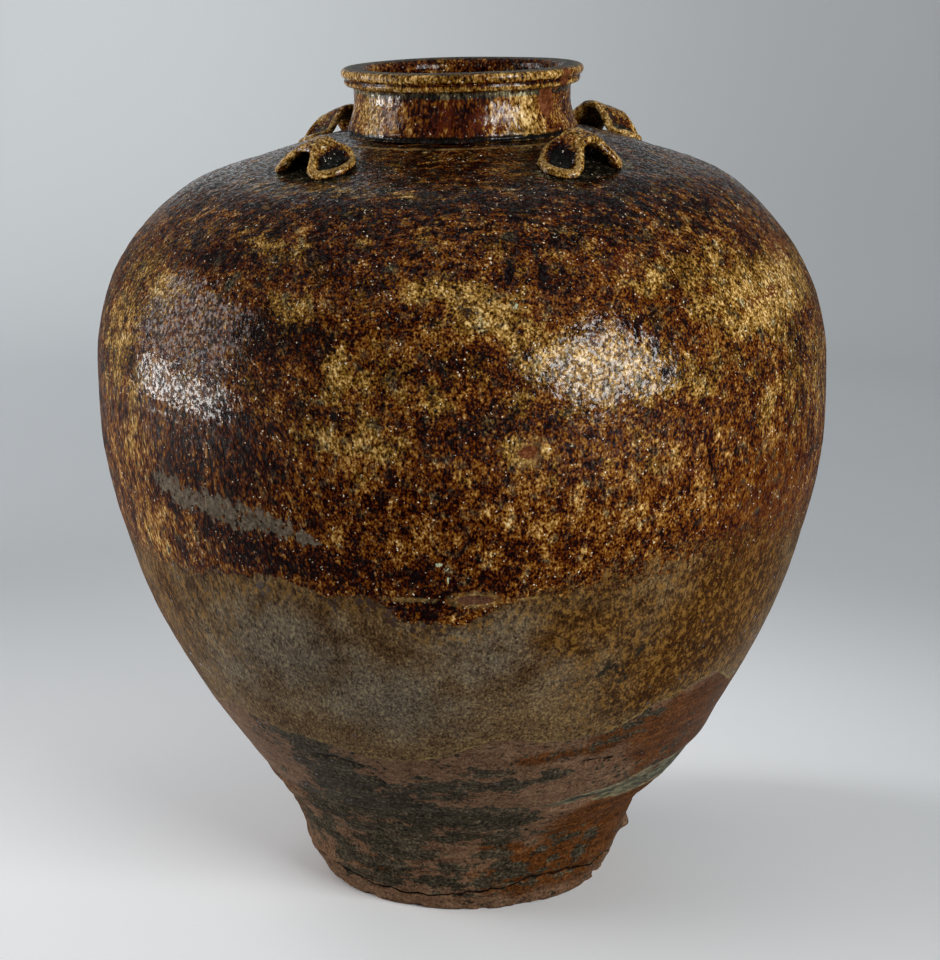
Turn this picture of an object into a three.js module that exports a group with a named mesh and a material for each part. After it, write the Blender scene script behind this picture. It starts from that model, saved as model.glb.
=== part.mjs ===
// A stoneware storage jar with four shoulder lugs, in millimetres, +Z up.
// The origin is on the ground under the middle of the jar. -Y is the front.
// The potter joined separately made pieces with clay slip: a base slab, three
// thrown wall sections, a neck with a rolled rim, and four pressed strap lugs.
import * as THREE from "three";

// Base slab, drawn in towards the ground
const BASE_THICKNESS = 17;
const BASE_DRAFT = 6.5;
const BASE_CHAMFER = 1.5;
const FOOT_RADIUS = 81.5;

// Neck and rolled rim. The neck flares towards its foot, and the rim stands out from it.
const NECK_RADIUS = 53.4;
const NECK_HEIGHT = 23.7;
const NECK_WALL = 5.9;
const NECK_FLARE = 4.6;
const RIM_ROLL = 6.1;
const RIM_HEIGHT = 9.3;
const RIM_GROOVE = 1;

// Stations of the outer wall, from the foot up to the seat of the neck. The upper
// ones are given by how far they lie below the seat.
const FLARE_RADIUS = 93;
const FLARE_HEIGHT = 44;
const CREASE_RADIUS = 109;
const CREASE_HEIGHT = 64;
const LOWER_RADIUS = 138.5;
const LOWER_HEIGHT = 108;
const FLANK_RADIUS = 167;
const FLANK_HEIGHT = 170;
const BELLY_RADIUS = 183;
const BELLY_HEIGHT = 257;
const HAUNCH_RADIUS = 172.5;
const HAUNCH_DROP = 68;
const SHOULDER_RADIUS = 137;
const SHOULDER_DROP = 26;
const YOKE_RADIUS = 96;
const YOKE_DROP = 10;
const SEAT_MARGIN = 3;
const SEAT_HEIGHT = 383;

// Wall thickness, at the foot and above it, and the seam between upper and lower wall
const FOOT_WALL = 12;
const WALL = 8.5;
const UPPER_SEAM_HEIGHT = 214;

// Lugs: a strap bent into an arch, its two ends pressed flat onto the shoulder
const LUG_RADIUS = 94;
const LUG_SPAN = 47;
const STRAP_THICKNESS = 4.2;
const STRAP_WIDTH = 13;
const PAW_WIDTH = 25;
const PAW_HOLLOW = 1.4;
// How high the crest stands above the shoulder; the front left lug has sagged
const LUG_CREST = 16;
const SAGGED_CREST = 13.5;
// Angle from the front towards +X, and how far the strap is turned in plan, in degrees
const LUGS = [
  { name: "lug_front_left", angle: -47, turn: -5, crest: SAGGED_CREST },
  { name: "lug_front_right", angle: 36, turn: 9, crest: LUG_CREST },
  { name: "lug_rear_right", angle: 129, turn: 6, crest: LUG_CREST },
  { name: "lug_rear_left", angle: -137, turn: -4, crest: LUG_CREST },
];

// The slip line left between pieces that meet on a sloping face
const SLIP_GAP = 0.3;

// Hand-thrown unevenness: how far the wall's rings stand off the axis in X, and
// how much the top of the jar climbs towards +X
const FOLD_SWAY = 4;
const MOUTH_TILT = 0.02;

const AROUND = 48;
const WALL_STEP = 15;

const neckFootRadius = NECK_RADIUS + NECK_FLARE;
const neckBore = NECK_RADIUS - NECK_WALL;
const haunchHeight = SEAT_HEIGHT - HAUNCH_DROP;
const shoulderLevel = SEAT_HEIGHT - SHOULDER_DROP;

// The outer wall's curve as points (radius, height)
const outerCurve = new THREE.CatmullRomCurve3(
  [
    [FOOT_RADIUS, BASE_THICKNESS],
    [FLARE_RADIUS, FLARE_HEIGHT],
    [CREASE_RADIUS, CREASE_HEIGHT],
    [LOWER_RADIUS, LOWER_HEIGHT],
    [FLANK_RADIUS, FLANK_HEIGHT],
    [BELLY_RADIUS, BELLY_HEIGHT],
    [HAUNCH_RADIUS, haunchHeight],
    [SHOULDER_RADIUS, shoulderLevel],
    [YOKE_RADIUS, SEAT_HEIGHT - YOKE_DROP],
    [neckFootRadius + SEAT_MARGIN, SEAT_HEIGHT],
  ].map(([radius, height]) => new THREE.Vector3(radius, height, 0)),
  false,
  "centripetal",
);

const FINE = 600;
const outer = outerCurve.getSpacedPoints(FINE).map((p) => ({ r: p.x, z: p.y }));

// The inner wall follows the outer one at the wall's thickness, measured square to it
const inner = outer.map((p, i) => {
  const before = outer[Math.max(i - 1, 0)];
  const after = outer[Math.min(i + 1, FINE)];
  const length = Math.hypot(after.r - before.r, after.z - before.z);
  const inward = { r: -(after.z - before.z) / length, z: (after.r - before.r) / length };
  const up = THREE.MathUtils.clamp((p.z - BASE_THICKNESS) / (LOWER_HEIGHT - BASE_THICKNESS), 0, 1);
  const thickness = THREE.MathUtils.lerp(FOOT_WALL, WALL, up);
  return { r: p.r + inward.r * thickness, z: p.z + inward.z * thickness };
});

// The point of a curve at a height, or at a radius on the shoulder. Past its ends
// the curve carries straight on.
function along(curve, key, value, from = 0) {
  for (let i = from; i < curve.length - 1; i++) {
    const a = curve[i];
    const b = curve[i + 1];
    if ((a[key] - value) * (b[key] - value) <= 0 && a[key] !== b[key]) {
      const t = (value - a[key]) / (b[key] - a[key]);
      return { r: THREE.MathUtils.lerp(a.r, b.r, t), z: THREE.MathUtils.lerp(a.z, b.z, t) };
    }
  }
  const first = curve[from];
  const last = curve[curve.length - 1];
  const end = Math.abs(first[key] - value) < Math.abs(last[key] - value) ? first : last;
  return key === "z" ? { r: end.r, z: value } : { r: value, z: end.z };
}

const bellyIndex = outer.reduce((best, p, i) => (p.r > outer[best].r ? i : best), 0);
const shoulderHeight = (radius) => along(outer, "r", radius, bellyIndex).z;

// Points of a curve between two of its ends, at about WALL_STEP apart
function stretch(curve, start, end) {
  const middle = curve.filter((p) => p.z > start.z && p.z < end.z);
  const chosen = [start];
  for (const p of middle) {
    const last = chosen[chosen.length - 1];
    const far = Math.hypot(p.r - last.r, p.z - last.z) >= WALL_STEP;
    const room = Math.hypot(p.r - end.r, p.z - end.z) >= WALL_STEP / 2;
    if (far && room) chosen.push(p);
  }
  chosen.push(end);
  return chosen;
}

// How far the wall's rings stand off the axis at a height
const sway = new THREE.CatmullRomCurve3(
  [
    [0, 0.3],
    [FLARE_HEIGHT, 0.3],
    [CREASE_HEIGHT + 6, 1],
    [LOWER_HEIGHT, 0.65],
    [FLANK_HEIGHT, 0.3],
    [BELLY_HEIGHT, 0],
    [shoulderLevel, -0.3],
    [SEAT_HEIGHT, 0],
  ].map(([height, share]) => new THREE.Vector3(share * FOLD_SWAY, height, 0)),
  false,
  "centripetal",
)
  .getSpacedPoints(FINE)
  .map((p) => ({ r: p.x, z: p.y }));

function swayAt(height) {
  if (height >= SEAT_HEIGHT) return 0;
  return along(sway, "z", Math.max(height, 0)).r;
}

function tiltAt(height) {
  return MOUTH_TILT * THREE.MathUtils.smoothstep(height, haunchHeight, SEAT_HEIGHT);
}

// Moves a geometry's points from the true round jar to the uneven one
function warp(geometry) {
  const position = geometry.getAttribute("position");
  for (let i = 0; i < position.count; i++) {
    const [x, y, z] = [position.getX(i), position.getY(i), position.getZ(i)];
    position.setXYZ(i, x + swayAt(z), y, z + tiltAt(z) * x);
  }
  geometry.computeVertexNormals();
  return geometry;
}

// A turned solid from a closed outline of points (radius, height)
function turned(outline) {
  const points = outline.map((p) => new THREE.Vector2(p.r, p.z));
  return warp(new THREE.LatheGeometry(points, AROUND).rotateX(Math.PI / 2));
}

function baseSlab() {
  const under = FOOT_RADIUS - BASE_DRAFT;
  return turned([
    { r: 0, z: 0 },
    { r: under - BASE_CHAMFER, z: 0 },
    { r: under, z: BASE_CHAMFER },
    { r: FOOT_RADIUS, z: BASE_THICKNESS },
    { r: 0, z: BASE_THICKNESS },
  ]);
}

// A ring of wall between two level seams
function wallSection(low, high) {
  const outside = stretch(outer, along(outer, "z", low), along(outer, "z", high));
  const inside = stretch(inner, along(inner, "z", low), along(inner, "z", high));
  return turned([...outside, ...inside.reverse(), outside[0]]);
}

// The upper wall closes over the shoulder to the flat seat of the neck
function shoulderSection() {
  const outside = stretch(outer, along(outer, "z", UPPER_SEAM_HEIGHT), outer[FINE]);
  const underside = inner.filter((p) => p.z > UPPER_SEAM_HEIGHT && p.r > neckBore + WALL);
  const innermost = underside[underside.length - 1];
  const inside = stretch(inner, along(inner, "z", UPPER_SEAM_HEIGHT), innermost);
  const throat = [
    { r: neckBore, z: SEAT_HEIGHT },
    { r: neckBore, z: innermost.z },
  ];
  return turned([...outside, ...throat, ...inside.reverse(), outside[0]]);
}

// The neck stands on its seat, draws in, and ends in a rim rolled outwards
function neckAndRim() {
  const foot = SEAT_HEIGHT + SLIP_GAP;
  const under = SEAT_HEIGHT + NECK_HEIGHT;
  const top = under + RIM_HEIGHT;
  const rim = NECK_RADIUS + RIM_ROLL;
  const lip = (rim + neckBore) / 2;
  return turned([
    { r: neckFootRadius, z: foot },
    { r: NECK_RADIUS + NECK_FLARE / 2, z: foot + NECK_HEIGHT * 0.22 },
    { r: NECK_RADIUS, z: foot + NECK_HEIGHT * 0.6 },
    { r: NECK_RADIUS, z: under },
    { r: rim - RIM_GROOVE * 2, z: under + RIM_HEIGHT * 0.03 },
    { r: rim - RIM_GROOVE / 2, z: under + RIM_HEIGHT * 0.18 },
    { r: rim - RIM_GROOVE, z: under + RIM_HEIGHT * 0.34 },
    { r: rim, z: under + RIM_HEIGHT * 0.55 },
    { r: rim - RIM_GROOVE / 2, z: under + RIM_HEIGHT * 0.8 },
    { r: lip + RIM_ROLL * 0.36, z: top - RIM_HEIGHT * 0.05 },
    { r: lip, z: top },
    { r: neckBore + NECK_WALL * 0.2, z: top - RIM_HEIGHT * 0.12 },
    { r: neckBore, z: top - RIM_HEIGHT * 0.5 },
    { r: neckBore, z: foot },
    { r: neckFootRadius, z: foot },
  ]);
}

// The middle line of a lug's strap: (distance along the shoulder, height above it)
function strapLine(crest) {
  const half = LUG_SPAN / 2;
  const rest = SLIP_GAP + STRAP_THICKNESS / 2;
  const rise = crest - STRAP_THICKNESS / 2 - rest;
  const side = [
    [-half, rest],
    [-half * 0.64, rest],
    [-half * 0.42, rest + rise * 0.5],
    [-half * 0.2, rest + rise * 0.92],
  ];
  const points = [...side, [0, rest + rise], ...side.map(([s, h]) => [-s, h]).reverse()];
  return new THREE.CatmullRomCurve3(points.map(([s, h]) => new THREE.Vector3(s, h, 0)), false, "centripetal");
}

const ALONG_STRAP = 20;
const TOP_POINTS = 5;
const UNDER_POINTS = 3;

function lug({ angle, turn, crest }) {
  const line = strapLine(crest);
  const radial = THREE.MathUtils.degToRad(angle);
  const heading = THREE.MathUtils.degToRad(angle + turn);
  const centre = new THREE.Vector2(Math.sin(radial), -Math.cos(radial)).multiplyScalar(LUG_RADIUS);
  const tangent = new THREE.Vector2(Math.cos(heading), Math.sin(heading));
  const across = new THREE.Vector2(Math.sin(heading), -Math.cos(heading));
  const place = (s, q, h) => {
    const spot = centre.clone().addScaledVector(tangent, s).addScaledVector(across, q);
    return [spot.x, spot.y, shoulderHeight(spot.length()) + Math.max(h, SLIP_GAP)];
  };

  const corners = [];
  for (let i = 0; i <= ALONG_STRAP; i++) {
    const u = i / ALONG_STRAP;
    const p = line.getPointAt(u);
    const t = line.getTangentAt(u);
    const paw = THREE.MathUtils.smoothstep(Math.abs(u - 0.5), 0.12, 0.4);
    const toe = THREE.MathUtils.smoothstep(Math.abs(u - 0.5), 0.42, 0.5);
    const width = THREE.MathUtils.lerp(STRAP_WIDTH, PAW_WIDTH, paw) * (1 - toe * 0.25);
    const ring = [];
    for (let k = 0; k < TOP_POINTS; k++) {
      const v = (2 * k) / (TOP_POINTS - 1) - 1;
      const hollow = PAW_HOLLOW * paw * (1 - toe) * (1 - v * v);
      const lift = STRAP_THICKNESS * (0.5 - 0.18 * v * v * (1 - paw)) - hollow;
      ring.push(place(p.x - t.y * lift, (v * width) / 2, p.y + t.x * lift));
    }
    for (let k = 0; k < UNDER_POINTS; k++) {
      const v = 1 - (2 * k) / (UNDER_POINTS - 1);
      const lift = -STRAP_THICKNESS / 2;
      ring.push(place(p.x - t.y * lift, (v * width * 0.88) / 2, p.y + t.x * lift));
    }
    corners.push(ring);
  }

  const count = TOP_POINTS + UNDER_POINTS;
  const vertices = corners.flat();
  const faces = [];
  for (let i = 0; i < ALONG_STRAP; i++) {
    for (let k = 0; k < count; k++) {
      const a = i * count + k;
      const b = i * count + ((k + 1) % count);
      faces.push([a, b, b + count], [a, b + count, a + count]);
    }
  }
  for (const [row, flip] of [[0, false], [ALONG_STRAP, true]]) {
    for (let k = 1; k < count - 1; k++) {
      const fan = [row * count, row * count + k + 1, row * count + k];
      faces.push(flip ? fan.reverse() : fan);
    }
  }
  const geometry = new THREE.BufferGeometry();
  const positions = faces.flatMap((face) => face.flatMap((corner) => vertices[corner]));
  geometry.setAttribute("position", new THREE.Float32BufferAttribute(positions, 3));
  return warp(geometry);
}

const bareClay = new THREE.MeshStandardMaterial({ color: 0x6b4030, roughness: 0.85, metalness: 0 });
const thinGlaze = new THREE.MeshStandardMaterial({ color: 0x57462f, roughness: 0.6, metalness: 0 });
const amberGlaze = new THREE.MeshStandardMaterial({ color: 0x5a3817, roughness: 0.25, metalness: 0 });

const jar = new THREE.Group();

function add(name, geometry, material) {
  const mesh = new THREE.Mesh(geometry, material);
  mesh.name = name;
  jar.add(mesh);
}

add("base_slab", baseSlab(), bareClay);
add("foot_wall", wallSection(BASE_THICKNESS, CREASE_HEIGHT), bareClay);
add("lower_wall", wallSection(CREASE_HEIGHT, UPPER_SEAM_HEIGHT), thinGlaze);
add("shoulder_wall", shoulderSection(), amberGlaze);
add("neck_and_rim", neckAndRim(), amberGlaze);
for (const place of LUGS) add(place.name, lug(place), amberGlaze);

export default jar;
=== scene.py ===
"""A stoneware storage jar with four shoulder lugs. Lengths are in metres, +Z is up.
The front is -Y, and angles run from the front towards +X, in degrees."""
import math

import bpy
import numpy as np
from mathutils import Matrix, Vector


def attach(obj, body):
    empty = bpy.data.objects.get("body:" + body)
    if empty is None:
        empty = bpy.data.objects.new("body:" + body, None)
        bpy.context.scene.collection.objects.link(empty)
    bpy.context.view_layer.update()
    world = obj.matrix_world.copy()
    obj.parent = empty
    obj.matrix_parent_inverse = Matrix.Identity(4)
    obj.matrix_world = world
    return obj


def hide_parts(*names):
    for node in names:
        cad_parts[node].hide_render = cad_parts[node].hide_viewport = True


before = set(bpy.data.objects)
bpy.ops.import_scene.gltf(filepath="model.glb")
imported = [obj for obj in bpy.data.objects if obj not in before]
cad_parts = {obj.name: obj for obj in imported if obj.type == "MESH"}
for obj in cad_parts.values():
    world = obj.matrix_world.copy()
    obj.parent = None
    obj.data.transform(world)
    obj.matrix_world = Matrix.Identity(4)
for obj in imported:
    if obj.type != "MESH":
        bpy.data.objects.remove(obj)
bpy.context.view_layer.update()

MM = 0.001

# Stations of the outer wall (radius, height), in mm, from the slab's top to the neck's seat
SLAB_TOP = 17.0
WALL_STATIONS = (
    (81.5, SLAB_TOP), (93, 44), (109, 64), (138.5, 108), (167, 170), (183, 257), (172.5, 315),
    (137, 357), (96, 373), (61, 383),
)
SLAB_FOOT = 75.0
SLAB_CHAMFER = 1.5
CREASE_SEAM = 64.0
UPPER_SEAM = 214.0
HAUNCH = 315.0
SEAT = 383.0
FOOT_WALL = 12.0
WALL = 8.5
LOWER_STATION = 108.0
NECK_BORE = 47.5

# How far the wall's rings stand off the axis in X (mm at a height in mm), and the mouth's tilt
SWAY = ((1.2, 0), (1.2, 44), (4, 70), (2.6, 108), (1.2, 170), (0, 257), (-1.2, 357), (0, 383))
MOUTH_TILT = 0.02

# Neck and rim stations (radius, height above the seat), in mm, outside and then inside
NECK_OUTSIDE = (
    (58.0, 0.1), (57.1, 2.2), (55.8, 5.4), (54.2, 10), (53.4, 14.5), (53.3, 19), (53.5, 22.2),
    (54.0, 23.2), (56.0, 23.6), (57.4, 24.3), (58.0, 25.5), (57.9, 26.5), (57.7, 27.0),
    (58.2, 27.6), (59.1, 28.6), (59.5, 29.9), (59.1, 31.3), (57.8, 32.2), (55.4, 32.6),
)
NECK_INSIDE = (
    (53.6, 32.7), (51.2, 32.5), (49.3, 32.0), (48.1, 30.6), (47.6, 28.4), (47.5, 25), (47.5, 18),
    (47.5, 9), (47.5, 0.1),
)

# Lugs: centre radius, length and strap sizes in mm; angle, turn, crest, width and seed of each
LUG_RADIUS = 94.0
LUG_SPAN = 47.0
STRAP_THICKNESS = 4.2
STRAP_WIDTH = 13.0
PAW_WIDTH = 25.0
PAW_HOLLOW = 1.9
REAR_STRAP_WIDTH = 23.0
LUGS = (
    ("lug_front_left", -47, -5, 13.5, STRAP_WIDTH, 11),
    ("lug_front_right", 36, 9, 16, STRAP_WIDTH, 12),
    ("lug_rear_right", 129, 6, 16, REAR_STRAP_WIDTH, 13),
    ("lug_rear_left", -137, -4, 16, REAR_STRAP_WIDTH, 14),
)

# Points round each ring and their angles, how far apart rings are in mm, how many there are, and
# waves in the noise
AROUND = 640
RING = np.linspace(-180, 180, AROUND, endpoint=False)[None, :]
ROW = 1.2
FOOT_ROW = 0.7
INSIDE_ROW = 7.0
UNDER_ROWS = 14
SLAB_ROWS = 26
NECK_ROWS = 150
BORE_ROWS = 70
STRAP_ROWS = 141
STRAP_SIDES = 48
WAVES = 22

# Surface forms, in mm: where the belly's bumps are eased in, what surrounds the neck, how far glaze
# pools round a lug, the burr on the foot's right (angle, radius, height) and the lip on its left
EASE_FROM = 181.6
BY_NECK = SEAT - 30
SEAT_GROOVE = 62.0
SEAT_RIDGE = 67.5
LUG_POOL = 6.0
BURR = (81, 84, 24)
LIP_HEIGHT = 15

# Heights in metres between which a look changes: the top's painted sheen streaks, the neck, the
# duller belly
SHEEN_STREAKS_FROM = (0.33, 0.355)
WALL_BELOW = (0.36, 0.33)
DULL_BELOW = (0.266, 0.236)

# Floor and backdrop, in metres: radius of the flat floor and of the sweep, and the top. Then steps
# and sides, and how far the paper's pale middle is moved
FLOOR_FLAT = 1.4
SWEEP = 0.9
BACKDROP_TOP = 2.4
SWEEP_STEPS = 16
SWEEP_SIDES = 64
PAPER_SHIFT = (0.07, 0.05, 0.0)

# Camera fitted to the photograph's outline, the height the lamps are aimed at (m), and how far the
# right one is turned about its own axis (degrees)
CAMERA_AT = (0.00114, -1.18589, 0.4999)
CAMERA_PITCH = 0.253507
CAMERA_LENS = 89.245
CAMERA_SHIFT = (0.0054, 0.0249)
AIM_HEIGHT = 0.27
RIGHT_LAMP_TURN = 28


def arc_length(points):
    return np.r_[0, np.cumsum(np.linalg.norm(np.diff(points, axis=0), axis=1))]


def evenly(points, count):
    """A line as evenly spaced points."""
    arc = arc_length(points)
    even = np.linspace(0, arc[-1], count)
    return np.stack([np.interp(even, arc, column) for column in points.T], 1)


def tangents(line):
    step = np.gradient(line, axis=0)
    return step / np.linalg.norm(step, axis=1, keepdims=True)


def centripetal(points, count):
    """Points spaced evenly along a centripetal Catmull-Rom curve."""
    p = np.array(points, float)
    p = np.vstack([2 * p[0] - p[1], p, 2 * p[-1] - p[-2]])
    out = []
    for i in range(1, len(p) - 2):
        a, b, c, d = p[i - 1 : i + 3]
        ab, bc, cd = (math.sqrt(np.linalg.norm(e)) for e in (b - a, c - b, d - c))
        start = ((b - a) / ab - (c - a) / (ab + bc) + (c - b) / bc) * bc
        end = ((c - b) / bc - (d - b) / (bc + cd) + (d - c) / cd) * bc
        t = np.linspace(0, 1, 120, endpoint=i == len(p) - 3)[:, None]
        out.append(
            (2 * t**3 - 3 * t**2 + 1) * b + (t**3 - 2 * t**2 + t) * start
            + (3 * t**2 - 2 * t**3) * c + (t**3 - t**2) * end
        )
    return evenly(np.vstack(out), count)


def smooth(x, low, high):
    t = np.clip((x - low) / (high - low), 0, 1)
    return t * t * (3 - 2 * t)


def bell(x, width):
    """1 at zero, falling off on both sides over the width."""
    return np.exp(-((x / width) ** 2))


def lumps(points, size, seed):
    """Smooth noise, mostly from -1 to 1, with bumps about `size` mm across."""
    rng = np.random.default_rng(seed)
    heading = rng.normal(size=(WAVES, 3))
    heading /= np.linalg.norm(heading, axis=1, keepdims=True)
    rate = math.pi / size * rng.uniform(0.5, 1.5, WAVES)
    phase = rng.uniform(0, 2 * math.pi, WAVES)
    total = np.zeros(points.shape[:-1])
    for direction, k, start in zip(heading, rate, phase):
        total += np.sin(points @ (direction * k) + start)
    return total / math.sqrt(WAVES * 2)


class Profile:
    """The outer wall's curve, with its arc length and outward direction."""

    def __init__(self):
        line = centripetal(WALL_STATIONS, 2400)
        self.radius, self.height = line.T
        step = tangents(line)
        self.out = np.stack([step[:, 1], -step[:, 0]], 1)
        self.arc = arc_length(line)
        self.belly = int(np.argmax(self.radius))

    def at(self, arc):
        """Radius, height and outward direction at an arc length."""
        lines = (self.radius, self.height, *self.out.T)
        return [np.interp(arc, self.arc, line) for line in lines]

    def arc_at(self, height):
        return np.interp(height, self.height, self.arc)

    def shoulder(self, radius):
        """Height of the shoulder at a radius."""
        r, h = self.radius[self.belly :][::-1], self.height[self.belly :][::-1]
        return np.interp(radius, r, h)


PROFILE = Profile()
SWAY_LINE = centripetal(SWAY, 400)


def place(angle, radius, height):
    """Points (mm) of the uneven jar from a true round one. The angle is in degrees."""
    turn = np.radians(angle)
    x, y = radius * np.sin(turn), -radius * np.cos(turn)
    shift = np.interp(height, SWAY_LINE[:, 1], SWAY_LINE[:, 0])
    tilt = MOUTH_TILT * smooth(height, HAUNCH, SEAT)
    return np.stack(np.broadcast_arrays(x + shift, y, height + tilt * x), -1)


# Lower edges of the two glaze coats, as (angle, height in mm) round the jar
THICK_EDGE = (
    (-180, 201), (-150, 193), (-120, 186), (-95, 196), (-66, 188.6), (-52.6, 190.6), (-46.4, 190),
    (-41.7, 194), (-29.6, 199), (-22, 193.6), (-15, 193.7), (-11.4, 188.6), (-9.6, 181.8),
    (-5.8, 179.7), (0, 181), (3.6, 188), (6.5, 190.8), (11.3, 196.6), (16.8, 196.3), (22.3, 202.4),
    (28.2, 204.5), (37.5, 205), (49, 203), (58, 204), (80, 196), (105, 188), (130, 197), (155, 209),
    (180, 201),
)
THIN_EDGE = (
    (-180, 118), (-150, 108), (-120, 121), (-90, 112), (-66, 107), (-55, 113), (-46.7, 112),
    (-41.8, 109.4), (-35, 107.7), (-29.3, 106.2), (-23.7, 103), (-18.4, 101.3), (-12.9, 101),
    (-6.1, 104), (-0.2, 110.5), (4.8, 115), (10.5, 114.3), (19.3, 111.8), (26.8, 113.4),
    (31.8, 118.6), (36.9, 125), (42.7, 128), (48.8, 133), (52.1, 133.7), (65, 118), (85, 124),
    (110, 113), (140, 127), (160, 122), (180, 118),
)
# How softly the thick coat ends, in mm, at an angle
THICK_FADE = (
    (-180, 8), (-90, 12), (-56, 11), (-38, 3), (-25, 1.2), (8, 1.5), (20, 10), (45, 30), (80, 32),
    (130, 12), (180, 8),
)
# The crack between slab and foot, and the crease above the foot, as (angle, height in mm)
CRACK = (
    (-180, 12), (-110, 14), (-60, 16), (-52, 14.5), (-46, 13.5), (-39, 10), (-32.5, 9), (-22.5, 8),
    (-15.5, 8.5), (-8.5, 9.5), (-1.5, 10), (0.5, 12), (9, 13), (19, 15), (24, 18), (35, 16.5),
    (42.5, 16.5), (54, 14), (90, 13), (180, 12),
)
CREASE = (
    (-180, 66), (-90, 67), (-30, 66), (0, 66.5), (20, 68), (35, 71), (50, 75), (65, 79), (85, 76),
    (120, 68), (180, 66),
)

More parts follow.
